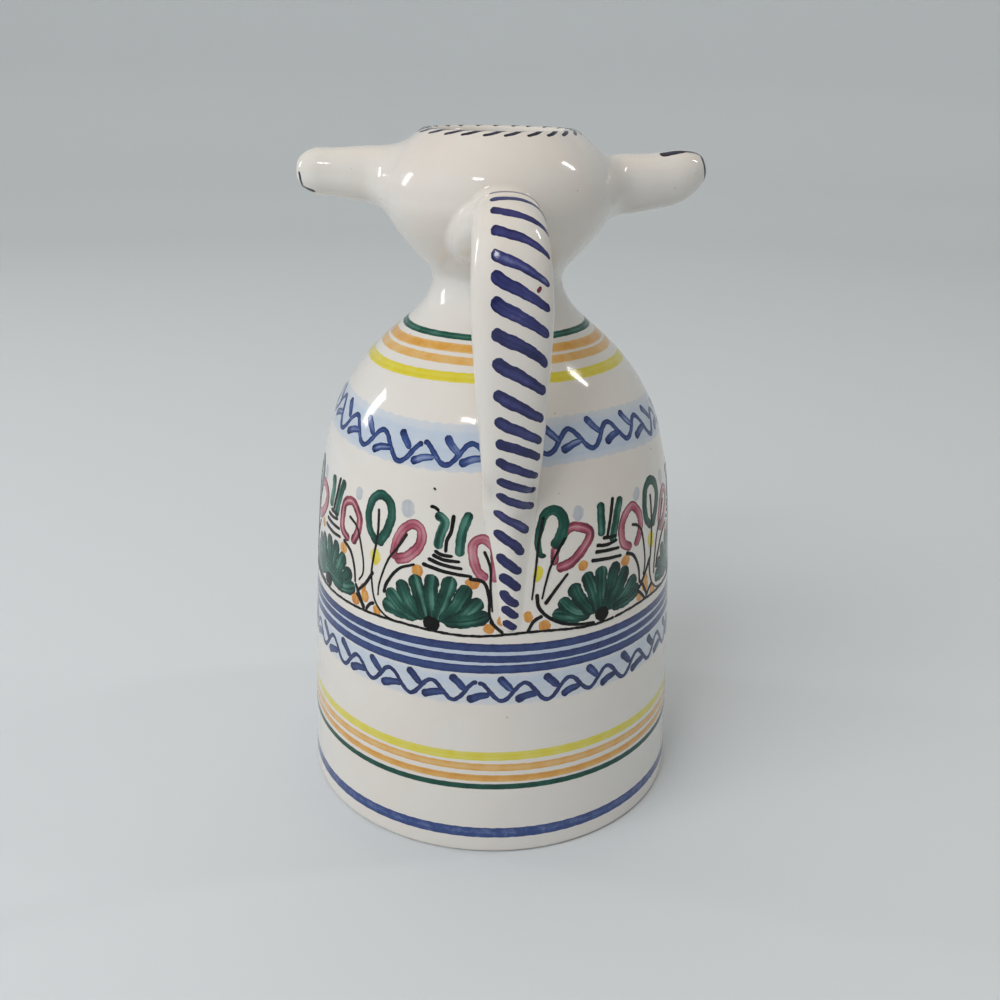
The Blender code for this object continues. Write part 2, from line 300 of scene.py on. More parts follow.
def ring_faces(rows, closed=False):
    """Quads from each ring of points to the next one, and from the last to the first when closed."""
    here = np.arange(rows.shape[0] * rows.shape[1]).reshape(rows.shape[:2])
    there = np.roll(here, -1, 0)
    if not closed:
        here, there = here[:-1], there[:-1]
    return stack([here, np.roll(here, -1, 1), np.roll(there, -1, 1), there], -1).reshape(-1, 4)


def skin(name, rows, closed=False):
    """A closed mesh through rings of points. Its ends meet when closed, and otherwise each is capped."""
    rows = np.asarray(rows)
    points, faces = rows.reshape(-1, 3), ring_faces(rows, closed).tolist()
    if not closed:
        first_cap, sides = len(points), rows.shape[1]
        end = first_cap - sides
        points = vstack([points, rows[0].mean(0), rows[-1].mean(0)])
        for side in range(sides):
            other = (side + 1) % sides
            faces.append((first_cap, other, side))
            faces.append((first_cap + 1, end + side, end + other))
    return make_object(name, make_mesh(name, points, faces))


def turned_rows(profile, bearings):
    radius = profile[:, 0, None]
    return stack([radius * sin(bearings), -radius * cos(bearings),
                     profile[:, 1, None] + 0 * bearings], -1)


# Skins of the clay pieces

def make_body():
    bearings = full_turn(TURN_STEPS)
    outline = BODY.outline
    edge = arc((BASE_RADIUS - BASE_EDGE_RADIUS, BASE_EDGE_RADIUS), BASE_EDGE_RADIUS, -pi / 2, -0.15, 6)
    under = stack([linspace(4, BASE_RADIUS - 2.5 * BASE_EDGE_RADIUS, 8), np.zeros(8)], 1)
    inside = inset(outline, WALL_THICKNESS)
    inside = inside[(inside[:, 1] > FLOOR_THICKNESS + 3) & (inside[:, 1] < SEAM_HEIGHT - 1)][::-3]
    corner = BASE_RADIUS - 1.1 * WALL_THICKNESS
    floor = bezier(inside[-1], (corner, FLOOR_THICKNESS + 1), (corner - 1, FLOOR_THICKNESS),
                   (corner - 5, FLOOR_THICKNESS), 8)
    middle = stack([linspace(corner - 9, 3, 8), np.full(8, FLOOR_THICKNESS)], 1)
    neck_lip = array([(NECK_RADIUS - WALL_THICKNESS, SEAM_MIDDLE)])
    wall = BODY.at(bearings[None, :], BODY.length[:, None])
    rows = vstack([turned_rows(joined(under, edge), bearings), wall,
                      turned_rows(joined(neck_lip, inside, floor, middle), bearings)])
    return skin("jug_body", rows)


def make_head():
    bearings = full_turn(TURN_STEPS)
    outside = HEAD.at(bearings[None, :], HEAD.length[:, None])
    inside = inset(head_outline(), WALL_THICKNESS)
    inner_radius = NECK_RADIUS - WALL_THICKNESS
    inside = inside[(inside[:, 1] > SEAM_HEIGHT + WALL_THICKNESS) & (inside[:, 0] > inner_radius)][::-3]
    inner_seam = array([(inner_radius, SEAM_MIDDLE)])
    inner_rows = turned_rows(joined(inside[1:], inner_seam), bearings)
    return skin("jug_head", vstack([outside, inner_rows]), closed=True)


def drop_on(surface, points, heading):
    """Where rays from points along heading first meet a thrown surface, and its normals there."""
    steps = linspace(0, DROP_REACH, DROP_STEPS)
    tracks = points[:, None, :] + steps[None, :, None] * heading
    bearing = np.arctan2(tracks[..., 0], -tracks[..., 1])
    wall = surface.at(bearing, surface.reach(tracks[..., 2]))
    gap = np.hypot(tracks[..., 0], tracks[..., 1]) - np.hypot(wall[..., 0], wall[..., 1])
    first = maximum(np.argmax(gap < 0, axis=1), 1)
    each = np.arange(len(points))
    share = gap[each, first - 1] / (gap[each, first - 1] - gap[each, first])
    met = points + (steps[first - 1] + share * steps[1])[:, None] * heading
    return met, surface.normal(np.arctan2(met[:, 0], -met[:, 1]), surface.reach(met[:, 2]))


def luted_rows(ring, following, flare, bulge, surface):
    """Rings that sweep from a section onto a thrown surface, as a joint is smoothed with a finger."""
    centre = ring.mean(0)
    heading = unit(centre - following.mean(0))
    outward = ring - centre
    outward = unit(outward - (outward @ heading)[:, None] * heading)
    flare, bulge = (np.broadcast_to(value, len(ring))[:, None] for value in (flare, bulge))
    foot, _ = drop_on(surface, ring + outward * flare, heading)
    beyond, _ = drop_on(surface, ring + outward * (flare + 0.5), heading)
    span = np.linalg.norm(foot - ring, axis=1)[:, None]
    leaving, away = unit(ring - following) * span, unit(beyond - foot) * span * LUTED_RUN_OUT
    swept = []
    for t in linspace(0, 1, LUTED_ROWS)[1:]:
        row = (2 * t**3 - 3 * t**2 + 1) * ring + (t**3 - 2 * t**2 + t) * leaving
        row = row + (3 * t**2 - 2 * t**3) * foot + (t**3 - t**2) * away
        swept.append(row + outward * bulge * sin(pi * t) ** 2)
    for further, sunk in LUTED_EDGE:
        place, normal = drop_on(surface, ring + outward * (flare + further), heading)
        swept.append(place - normal * sunk)
    return swept


class Spout:
    """A hand-rolled spout: places by angle round its axis, up being 90 degrees, and length along it."""

    def __init__(self, direction, lift, length, root_radius, nose_radius, nose_length, turn_up, top_flare):
        self.top_flare = top_flare
        flat, rise = cos(SPOUT_RISE_ANGLE), sin(SPOUT_RISE_ANGLE)
        self.axis = array([cos(direction) * flat, sin(direction) * flat, rise])
        self.side = array([-sin(direction), cos(direction), 0])
        self.up = np.cross(self.axis, self.side)
        self.origin = array([0, 0, WIDEST_HEIGHT + lift])
        reach = HEAD_RADIUS + length
        self.start = start = HEAD_RADIUS + SPOUT_FILLET_START
        self.nose_start = nose_start = reach - nose_length
        self.turn_up = turn_up / (reach - start) ** 2
        lip_centre = (reach - SPOUT_LIP_RADIUS, SPOUT_MOUTH_RADIUS + SPOUT_LIP_RADIUS)
        lip = arc(lip_centre, SPOUT_LIP_RADIUS, radians(40), -pi / 2, 12)
        pull, taper = 0.4 * (nose_start - start), 0.45 * (root_radius - nose_radius)
        stem = bezier((start, root_radius), (start + pull, root_radius - taper),
                      (nose_start - pull, nose_radius), (nose_start, nose_radius), 14)
        bend = linspace(0, np.arccos(lip[0, 1] / nose_radius), 24)
        reach_out = (lip[0, 0] - nose_start) / sin(bend[-1])
        nose = stack([nose_start + reach_out * sin(bend), nose_radius * cos(bend)], 1)
        self.outline = joined(stem, nose, lip)
        self.length = run_length(diff(self.outline, axis=0))

    def ring(self, distance, radius, angles):
        out = cos(angles)[..., None] * self.side + sin(angles)[..., None] * self.up
        lift = self.turn_up * maximum(np.asarray(distance) - self.start, 0) ** 2
        centre = self.origin + np.asarray(distance)[..., None] * self.axis + lift[..., None] * self.up
        return centre + np.asarray(radius)[..., None] * out

    def at(self, angle, along):
        distance = interp(along, self.length, self.outline[:, 0])
        radius = interp(along, self.length, self.outline[:, 1])
        return self.ring(distance, radius, angle)

    def normal(self, angle, along):
        return normal_of(self, angle, along, 0.02, 0.1)

    def scale(self, path):
        return stack([interp(path[:, 1], self.length, self.outline[:, 1]), ones(len(path))], 1)


SPOUT_SURFACES = {name: Spout(*spec) for name, spec in SPOUTS.items()}


def make_spout(name):
    spout = SPOUT_SURFACES[name]
    angles = full_turn(RING_STEPS)
    rows = [spout.at(angles, np.full(RING_STEPS, length)) for length in spout.length]
    upper, sides = maximum(sin(angles), 0), cos(angles) ** 2
    flare = SPOUT_FLARE + (spout.top_flare - SPOUT_FLARE) * upper + SPOUT_SIDE_FLARE * sides
    root = luted_rows(rows[0], rows[1], flare, 0.0, HEAD)
    inner_end = HEAD_RADIUS - WALL_THICKNESS + 0.4
    bore = [spout.ring(s, SPOUT_BORE_RADIUS, angles) for s in linspace(spout.nose_start, inner_end, 8)]
    return skin(name + "_skin", root[::-1] + rows + bore, closed=True)


def cut_bores(head):
    """Opens the bore of every spout through the wall of the head."""
    angles = (np.arange(RING_STEPS) + CUTTER_TURN) * 2 * pi / RING_STEPS
    ends = (HEAD_RADIUS - 3 * WALL_THICKNESS, HEAD_RADIUS + 3.0)
    for spout in SPOUT_SURFACES.values():
        cutter = skin("bore_cutter", [spout.ring(end, SPOUT_BORE_RADIUS - 0.05, angles) for end in ends])
        cut = head.modifiers.new("bore", "BOOLEAN")
        cut.object, cut.operation, cut.solver = cutter, "DIFFERENCE", "EXACT"
        bored = head.evaluated_get(bpy.context.evaluated_depsgraph_get())
        head.data = bpy.data.meshes.new_from_object(bored)
        head.modifiers.clear()
        bpy.data.objects.remove(cutter)
    head.data.set_sharp_from_angle(angle=radians(45))
    return head


def handle_path():
    """Centre line of the handle as (distance from the axis, height), in runs to its grip, foot and tail."""
    outline = body_outline()
    root = (HEAD_RADIUS - 2 * WALL_THICKNESS, WIDEST_HEIGHT - HANDLE_ROOT_DROP)
    foot = (interp(HANDLE_FOOT_HEIGHT, outline[:, 1], outline[:, 0]), HANDLE_FOOT_HEIGHT)
    grip = (foot[0] + HANDLE_BULGE, WIDEST_HEIGHT - HANDLE_BULGE_DROP)
    span, drop = grip[0] - root[0], grip[1] - foot[1]
    crown = WIDEST_HEIGHT + HANDLE_CROWN_RISE
    upper = bezier(root, (root[0] + 0.45 * span, crown), (grip[0] - 0.06 * span, crown), grip, 60)
    lower = bezier(grip, (grip[0] + 0.03 * span, grip[1] - 0.42 * drop),
                   (foot[0] + 0.16 * span, foot[1] + 0.22 * drop), foot, 70)
    heights = linspace(HANDLE_FOOT_HEIGHT, HANDLE_TAIL_HEIGHT, 50)
    tail = stack([interp(heights, outline[:, 1], outline[:, 0]), heights], 1)
    return upper, lower[1:], tail[1:]


def handle_sizes(sizes, counts, fall):
    """A section size along the whole path, from the four sizes at root, grip, foot and tail."""
    root, grip, foot, tail = sizes
    upper = linspace(root, grip, counts[0])
    lower = linspace(grip, foot, counts[1] + 1)[1:]
    share = linspace(0, 1, counts[2] + 1)[1:]
    end = tail + (foot - tail) * (1 - share) ** fall
    return np.concatenate([upper, lower, end])


class Handle:
    """The pulled handle: places by turn to the right of its front and length up from its tail."""

    def __init__(self):
        runs = handle_path()
        path = vstack(runs)
        counts = [len(run) for run in runs]
        foot = counts[0] + counts[1] - 1
        bend = np.exp(-((np.arange(len(path)) - foot) / 22) ** 2)[1:-1, None]
        for _ in range(110):
            path[1:-1] += bend * (path[:-2] - 2 * path[1:-1] + path[2:]) / 4
        along = unit(gradient(path, axis=0))
        for _ in range(12):
            along[1:-1] = (along[:-2] + 2 * along[1:-1] + along[2:]) / 4
        outline = body_outline()
        gap = maximum(path[:, 0] - interp(path[:, 1], outline[:, 1], outline[:, 0]), 0)
        self.path = path
        self.length = run_length(diff(path, axis=0))
        self.foot_start = self.length[foot]
        left = self.length[-1] - self.length
        round_off = np.sqrt(1 - (1 - np.clip(left / 4.5, 0.0, 1)) ** 2)
        self.width = handle_sizes(HANDLE_WIDTHS, counts, 1.6) * (0.25 + 0.75 * round_off)
        depth = handle_sizes(HANDLE_DEPTHS, counts, 3) * (0.1 + 0.9 * smoothstep(0, 9, left) ** 0.5)
        self.columns = (*path.T, *unit(along).T, self.width, depth, gap)

    def section(self, length, angle):
        """Places by length from the root. Angle 0 points right, and a quarter turn out from the jug."""
        read = (interp(length, self.length, values) for values in self.columns)
        centre_out, centre_up, ahead_out, ahead_up, width, depth, gap = read
        power = 2 / HANDLE_SQUARENESS
        c, s = cos(angle), sin(angle)
        across = np.sign(c) * np.abs(c) ** power * width / 2
        out = np.sign(s) * np.abs(s) ** power * depth / 2
        wiped = smoothstep(self.foot_start - 16, self.foot_start + 8, length)
        bell_across = c * width / 2 * 1.12
        edge = -gap - 0.05
        bell_out = np.where(s > 0, edge + (1 - c * c) ** 1.6 * (depth / 2 - edge), edge - 0.6 * np.abs(s))
        bell_out = bell_out - bell_across ** 2 / 130
        across = across + wiped * (bell_across - across)
        out = out + wiped * (bell_out - out)
        distance = centre_out - out * ahead_up
        height = centre_up + out * ahead_out
        skew = HANDLE_SKEW[0] + (HANDLE_SKEW[1] - HANDLE_SKEW[0]) * length / self.length[-1]
        x = across * cos(skew) + distance * sin(skew)
        y = across * sin(skew) - distance * cos(skew)
        return stack([x, y, height], -1)

    def at(self, turn, up):
        return self.section(self.length[-1] - up, pi / 2 - turn)

    def normal(self, turn, up):
        return normal_of(self, turn, up, 0.02, 0.15)

    def scale(self, path):
        widths = interp(self.length[-1] - path[:, 1], self.length, self.width)
        return stack([widths / 2.2, ones(len(path))], 1)


HANDLE = Handle()


def make_handle():
    angles = full_turn(RING_STEPS)
    start = float(interp(HEAD_RADIUS + HANDLE_FILLET_START, HANDLE.path[:40, 0], HANDLE.length[:40]))
    lengths = np.concatenate([[start], HANDLE.length[HANDLE.length > start + 0.5]])
    rows = [HANDLE.section(length, angles) for length in lengths]
    pad = maximum(cos(angles - PAD_ANGLE), 0) ** 1.4
    root = luted_rows(rows[0], rows[1], HANDLE_FLARE + PAD_REACH * pad, PAD_BULGE * pad, HEAD)
    return skin("handle_skin", array(root[::-1] + rows)[:, ::-1])


# Brushwork

# Strokes of a canvas take turns to lie a little higher, and each climbs along its run, so that none share a
# plane where they cross. Their edges sink into the glaze
LAYER_STEP = 0.0007
LAYERS = 24
STROKE_CLIMB = 0.006
EDGE_SINK = 0.02


class Canvas:
    """Brush strokes of one colour, gathered into one thin closed mesh that lies in the glaze."""

    def __init__(self, name, lift, seed, paint):
        self.name, self.lift, self.paint = name, lift, paint
        self.random = np.random.default_rng(SEED + seed)
        self.points, self.normals, self.pigment, self.faces = [], [], [], []
        self.count = 0
        self.strokes = 0

    def stroke(self, surface, path, width, cap=None, taper=(1, 1), strength=1.0, pools=(0.3, 0.3),
               streak=0.12, ragged=0.05, soft=0.0, edge=0.15, spacing=0.55):
        """One stroke along (turn, length) places of the surface. Widths and lengths are in millimetres."""
        path = resample(surface, np.asarray(path, float), spacing)
        scale = surface.scale(path)
        run = run_length(diff(path, axis=0) * (scale[:-1] + scale[1:]) / 2)
        total = run[-1]
        ahead = unit(gradient(path, axis=0) * scale)
        cap = min(width / 2 if cap is None else cap, total / 2)
        nearest = np.minimum(run, total - run)
        rounding = np.sqrt(np.clip(1 - (1 - np.clip(nearest / max(cap, 1e-6), 0, 1)) ** 2, 0, 1))
        share = run / total
        half = width / 2 * (taper[0] + (taper[1] - taper[0]) * share)
        half = half * maximum(rounding, 0.03)
        wave = self.random.uniform(0, 6.28, 4)
        drift = sin(run * 1.1 + wave[0]) + 0.7 * sin(run * 2.7 + wave[1])
        left = half * (1 + ragged * drift)
        right = half * (1 + ragged * (sin(run * 1.3 + wave[2]) + 0.7 * sin(run * 3.1 + wave[3])))
        columns = max(5, 2 * round(width / 1.3) + 1)
        t = np.concatenate([[-1], linspace(-0.9, 0.9, columns), [1]])
        offset = np.where(t < 0, left[:, None] * t, right[:, None] * t)
        turn = path[:, 0, None] - offset * ahead[:, 1, None] / scale[:, 0, None]
        along = path[:, 1, None] + offset * ahead[:, 0, None] / scale[:, 1, None]
        place, normal = surface.at(turn, along), surface.normal(turn, along)
        rise = self.lift + LAYER_STEP * (self.strokes % LAYERS) + STROKE_CLIMB * share
        height = rise[:, None] * np.where(np.abs(t) < 1, 1.0, 0.0) - EDGE_SINK * (np.abs(t) == 1)
        pooled = pools[0] * np.exp(-(run / (0.6 * width)) ** 2)
        pooled = pooled + pools[1] * np.exp(-((total - run) / (0.6 * width)) ** 2)
        hairs = self.random.normal(0, streak, len(t))
        fade = 1 - soft * np.abs(t) ** 3
        body = strength * (1 + self.random.normal(0, 0.06))
        flow = 0.6 * streak * sin(run * 0.6 + wave[2])
        pigment = (body + pooled + flow)[:, None] + hairs[None, :] + edge * (t[None, :] ** 2 - 0.3)
        self.add(place + normal * height[..., None], normal, np.clip(pigment, 0.05, 1.6) * fade)

    def add(self, points, normals, pigment):
        rows, columns = pigment.shape
        grid = self.count + np.arange(rows * columns).reshape(rows, columns)
        quads = stack([grid[:-1, :-1], grid[:-1, 1:], grid[1:, 1:], grid[1:, :-1]], -1).reshape(-1, 4)
        under = stack([grid[:-1, 0], grid[1:, 0], grid[1:, -1], grid[:-1, -1]], -1)
        self.faces += quads[:, ::-1].tolist() + under[:, ::-1].tolist()
        self.faces += [grid[0].tolist(), grid[-1, ::-1].tolist()]
        self.points.append(points.reshape(-1, 3))
        self.normals.append(normals.reshape(-1, 3))
        self.pigment.append(pigment.reshape(-1))
        self.count += rows * columns
        self.strokes += 1

    def finish(self):
        mesh = make_mesh(self.name, vstack(self.points), self.faces)
        layer = mesh.attributes.new("pigment", "FLOAT", "POINT")
        layer.data.foreach_set("value", np.concatenate(self.pigment).astype(np.float32))
        mesh.normals_split_custom_set_from_vertices(vstack(self.normals).tolist())
        dress(make_object(self.name, mesh), PAINTS[self.paint])


def resample(surface, path, spacing):
    """A smooth curve through the path's points, with a point about every spacing millimetres."""
    if len(path) > 2:
        padded = vstack([2 * path[0] - path[1], path, 2 * path[-1] - path[-2]])
        t = linspace(0, 1, 12, endpoint=False)[:, None]
        runs = []
        for a, b, c, d in zip(padded, padded[1:], padded[2:], padded[3:]):
            runs.append(0.5 * (2 * b + (c - a) * t + (2 * a - 5 * b + 4 * c - d) * t**2
                               + (3 * b - a - 3 * c + d) * t**3))
        path = vstack(runs + [path[-1:]])
    scale = surface.scale(path)
    run = run_length(diff(path, axis=0) * scale[:-1])
    count = max(int(run[-1] / spacing), 7)
    even = linspace(0, 1, count)
    ends = 0.5 - 0.5 * cos(pi * even)
    even = run[-1] * (0.35 * ends + 0.65 * even)
    return stack([interp(even, run, path[:, 0]), interp(even, run, path[:, 1])], 1)


def on_body(bearing, points):
    """Motif points (sideways, height) in millimetres turned into body coordinates round a bearing."""
    placed = []
    for sideways, height in points:
        along = BODY.reach(height)
        placed.append((bearing + sideways / BODY.radius(along), along))
    return placed


# Materials

GLAZE_WHITE = (0.73, 0.695, 0.645, 1)
GLAZE_WARM = (0.72, 0.655, 0.60, 1)
GLAZE_COOL = (0.70, 0.70, 0.68, 1)
CLAY = (0.42, 0.24, 0.14, 1)
SPECK = (0.10, 0.085, 0.075, 1)
GLAZE_ROUGHNESS = (0.07, 0.15)
GLAZE_COAT = 0.35
GLAZE_INDEX = 1.52
COAT_ROUGHNESS = 0.05
RIPPLE_STRENGTH = 0.10
RIPPLE_DEPTH = 0.0004
# Paints where they lie thin, full and pooled, then the weight of the coat and the index of refraction
PIGMENTS = {
    "cobalt": ((0.34, 0.41, 0.62, 1), (0.034, 0.068, 0.220, 1), (0.007, 0.015, 0.084, 1), 0.12, 1.45),
    "cobalt_deep": ((0.26, 0.29, 0.50, 1), (0.040, 0.044, 0.172, 1), (0.009, 0.012, 0.078, 1), 0.12, 1.45),
    "cobalt_dark": ((0.20, 0.21, 0.28, 1), (0.022, 0.025, 0.052, 1), (0.008, 0.009, 0.02, 1), 0.1, 1.4),
    "blue_wash": ((0.50, 0.57, 0.67, 1), (0.385, 0.465, 0.615, 1), (0.27, 0.35, 0.52, 1)),
    "grey_wash": ((0.50, 0.51, 0.535, 1), (0.42, 0.44, 0.48, 1), (0.32, 0.34, 0.42, 1)),
    "green": ((0.10, 0.25, 0.20, 1), (0.011, 0.080, 0.056, 1), (0.002, 0.022, 0.018, 1), 0.0, 1.36),
    "yellow": ((0.71, 0.67, 0.24, 1), (0.67, 0.575, 0.04, 1), (0.58, 0.45, 0.03, 1)),
    "orange": ((0.72, 0.54, 0.26, 1), (0.66, 0.33, 0.06, 1), (0.50, 0.18, 0.02, 1)),
    "pink": ((0.56, 0.30, 0.33, 1), (0.36, 0.066, 0.112, 1), (0.105, 0.008, 0.020, 1), 0.1, 1.45),
    "black": ((0.08, 0.08, 0.075, 1), (0.009, 0.010, 0.009, 1), (0.003, 0.003, 0.003, 1), 0.0, 1.3),
}
# Paints paired with the slot of another; nothing in this script reads this table
SHARED_SLOTS = dict.fromkeys(("cobalt_deep", "cobalt_dark", "blue_wash", "grey_wash"), "cobalt_paint")


def fill(tree, made, inputs):
    """Links each of a node's inputs to a socket, or sets it to a constant."""
    for name, value in inputs.items():
        if isinstance(value, bpy.types.NodeSocket):
            tree.links.new(value, made.inputs[name])
        else:
            made.inputs[name].default_value = value


def node(tree, kind, inputs, **settings):
    """Makes a shader node and returns its outputs."""
    made = tree.nodes.new("ShaderNode" + kind)
    for name, value in settings.items():
        setattr(made, name, value)
    fill(tree, made, inputs)
    return made.outputs


def mix_colours(tree, factor, first, second):
    return node(tree, "Mix", {0: factor, 6: first, 7: second}, data_type="RGBA")[2]


def noise(tree, scale, detail=3.0, roughness=0.55):
    place = node(tree, "TexCoord", {})["Object"]
    inputs = {"Vector": place, "Scale": scale, "Detail": detail, "Roughness": roughness}
    return node(tree, "TexNoise", inputs)["Fac"]


def remap(tree, value, low, high, to_low=0.0, to_high=1.0):
    return node(tree, "MapRange", {0: value, 1: low, 2: high, 3: to_low, 4: to_high})[0]


def glaze_colour(tree):
    """Milky white, a little warm where it lies thin and cool where it pooled, with iron specks."""
    blotch = remap(tree, noise(tree, 26, 4), 0.42, 0.70)
    base = mix_colours(tree, blotch, GLAZE_WHITE, GLAZE_WARM)
    pooled = remap(tree, noise(tree, 13, 2), 0.50, 0.75)
    base = mix_colours(tree, pooled, base, GLAZE_COOL)
    speck = remap(tree, noise(tree, 620, 1), 0.80, 0.83, 0.0, 0.75)
    return mix_colours(tree, speck, base, SPECK)


def worn_glaze_colour(tree):
    """The white glaze, wiped off the base so that the clay shows there."""
    place = node(tree, "NewGeometry", {})["Position"]
    height = node(tree, "SeparateXYZ", {0: place})["Z"]
    ragged = remap(tree, noise(tree, 150, 3), 0.3, 0.7, -0.0005, 0.0005)
    edge = node(tree, "Math", {0: height, 1: ragged}, operation="ADD")[0]
    clay = mix_colours(tree, noise(tree, 400, 4), CLAY, GLAZE_WARM)
    return mix_colours(tree, remap(tree, edge, 0.0006, 0.0001), glaze_colour(tree), clay)


def glaze_shader(name, colour_of, coat=GLAZE_COAT, index=GLAZE_INDEX):
    """A glossy glaze over the colour that colour_of makes, with the faint ripple of a fired surface."""
    material = bpy.data.materials.new(name)
    material.use_nodes = True
    tree = material.node_tree
    height = noise(tree, 210, 2)
    ripple = node(tree, "Bump", {"Strength": RIPPLE_STRENGTH, "Distance": RIPPLE_DEPTH, "Height": height})
    fill(tree, tree.nodes["Principled BSDF"], {
        "Base Color": colour_of(tree),
        "Roughness": remap(tree, noise(tree, 90, 3), 0.3, 0.7, *GLAZE_ROUGHNESS),
        "IOR": index,
        "Coat Weight": coat,
        "Coat Roughness": COAT_ROUGHNESS,
        "Normal": ripple["Normal"],
    })
    return material


def pigment_shader(name, pale, full, dark, coat=GLAZE_COAT, index=GLAZE_INDEX):
    """In-glaze colour: thin paint lets the white through, and paint that pooled is dark."""
    def colour(tree):
        laid = node(tree, "Attribute", {}, attribute_name="pigment")["Fac"]
        uneven = remap(tree, noise(tree, 420, 5, 0.65), 0.25, 0.75, 0.86, 1.14)
        amount = node(tree, "Math", {0: laid, 1: uneven}, operation="MULTIPLY")[0]
        thin = mix_colours(tree, remap(tree, amount, 0.0, 0.45), glaze_colour(tree), pale)
        body = mix_colours(tree, remap(tree, amount, 0.45, 1.0), thin, full)
        return mix_colours(tree, remap(tree, amount, 1.0, 1.5), body, dark)
    return glaze_shader(name, colour, coat, index)


def dress(piece, material):
    piece.data.materials.clear()
    piece.data.materials.append(material)
    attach(piece, "root")


PAINTS = {name: pigment_shader(name, *spec) for name, spec in PIGMENTS.items()}
GLAZE = glaze_shader("white_glaze", glaze_colour)
WORN_GLAZE = glaze_shader("white_glaze_worn", worn_glaze_colour)


# Painted bands

def ring(canvas, height, width, strength, streak=0.1, soft=0.0, start=2.4, wander=0.0):
    """A line banded on the body on the wheel, its end a little past its start."""
    turns = linspace(start, start + 2 * pi + 0.10, 300)
    sway = 0.18 * sin(turns * 2 + height) + 0.10 * sin(turns * 5 + 2 * height) + wander * sin(3 * turns)
    path = stack([turns, BODY.reach(height) + sway], 1)
    canvas.stroke(BODY, path, width, strength=strength, pools=(0.1, 0.15), streak=streak, ragged=0.03,
                  soft=soft, spacing=1.1)


def paint_rings():
    blue = Canvas("blue_rings", 0.05, 1, "cobalt")
    for height, width in ((77.0, 2.9), (73.4, 2.7), (69.6, 3.1)):
        ring(blue, height, width, 1.26, streak=0.05, start=2.4 + height)
    ring(blue, 7.9, 3.9, 1.04, streak=0.04, start=4.0)
    blue.finish()
    yellow = Canvas("yellow_rings", 0.04, 2, "yellow")
    ring(yellow, 158.4, 3.7, 0.98, soft=0.2)
    ring(yellow, 37.8, 3.3, 0.95, soft=0.2)
    yellow.finish()
    orange = Canvas("orange_rings", 0.05, 3, "orange")
    bands = ((165.6, 3.5, 0.86), (162.8, 3.1, 0.86), (33.5, 2.7, 1.0), (29.5, 2.6, 1.0))
    for height, width, strength in bands:
        ring(orange, height, width, strength, soft=0.3, start=1.0 + height)
    orange.finish()
    green = Canvas("green_rings", 0.05, 4, "green")
    ring(green, 168.7, 2.5, 0.92, streak=0.14)
    ring(green, 26.0, 2.1, 1.08)
    green.finish()


# Each wave band: number of waves, bearing of a crest, heights of the troughs and crests, width of the line
# and of the slashes, how far the band wanders up and down round the jug, and how dark it is
WAVE_BANDS = ((22, radians(-27.9), 136.3, 142.9, 1.8, 2.7, 2.2, 1.02),
              (27, radians(-8.1), 58.0, 64.8, 1.6, 3.0, 0.0, 1.26))


def paint_wave_bands():
    """Two washed bands, each with a wavy line and a slash above and below every wave."""
    wash = Canvas("blue_washes", 0.02, 5, "blue_wash")
    ring(wash, 140.8, 15.5, 0.46, streak=0.06, soft=0.75, wander=1.3)
    ring(wash, 62.8, 12.0, 0.40, streak=0.06, soft=0.8)
    ring(wash, 73.9, 9.0, 0.54, streak=0.06, soft=0.6)
    wash.finish()
    line = Canvas("wave_lines", 0.06, 6, "cobalt")
    slash = Canvas("wave_slashes", 0.08, 7, "cobalt")
    for waves, start, low, high, width, broad, wander, ink in WAVE_BANDS:
        steps = np.arange(waves * 12 + 1) / 12
        turns = start + 2 * pi * steps / waves
        sway = 0.12 * sin(3.1 * steps) + 0.08 * sin(5.7 * steps)
        shift = wander * sin(3 * turns)
        heights = (low + high) / 2 + (high - low) / 2 * (cos(2 * pi * steps) + sway) + shift
        path = stack([turns, BODY.reach(heights)], 1)
        line.stroke(BODY, path, width, strength=ink + 0.06, streak=0.1, ragged=0.08, edge=0.35, spacing=0.5)
        for wave in range(waves):
            crest = start + 2 * pi * wave / waves
            trough = crest + pi / waves
            jitter = line.random.normal(0, 0.3, 4)
            above = ((-1.0 + jitter[0], 2.2), (1.4, -0.3), (4.0 + jitter[1], -2.9))
            below = ((-3.2 + jitter[2], 0.4), (0.4, 2.0), (4.4 + jitter[3], 2.7))
            marks = ((trough, high, above, (1.05, 0.8)), (crest, low, below, (1.1, 0.75)))
            for turn, level, shape, taper in marks:
                level = level + wander * sin(3 * turn)
                places = on_body(turn, [(sideways, level + rise) for sideways, rise in shape])
                slash.stroke(BODY, places, broad, taper=taper, strength=ink, pools=(0.4, 0.1), edge=0.4)
    line.finish()
    slash.finish()


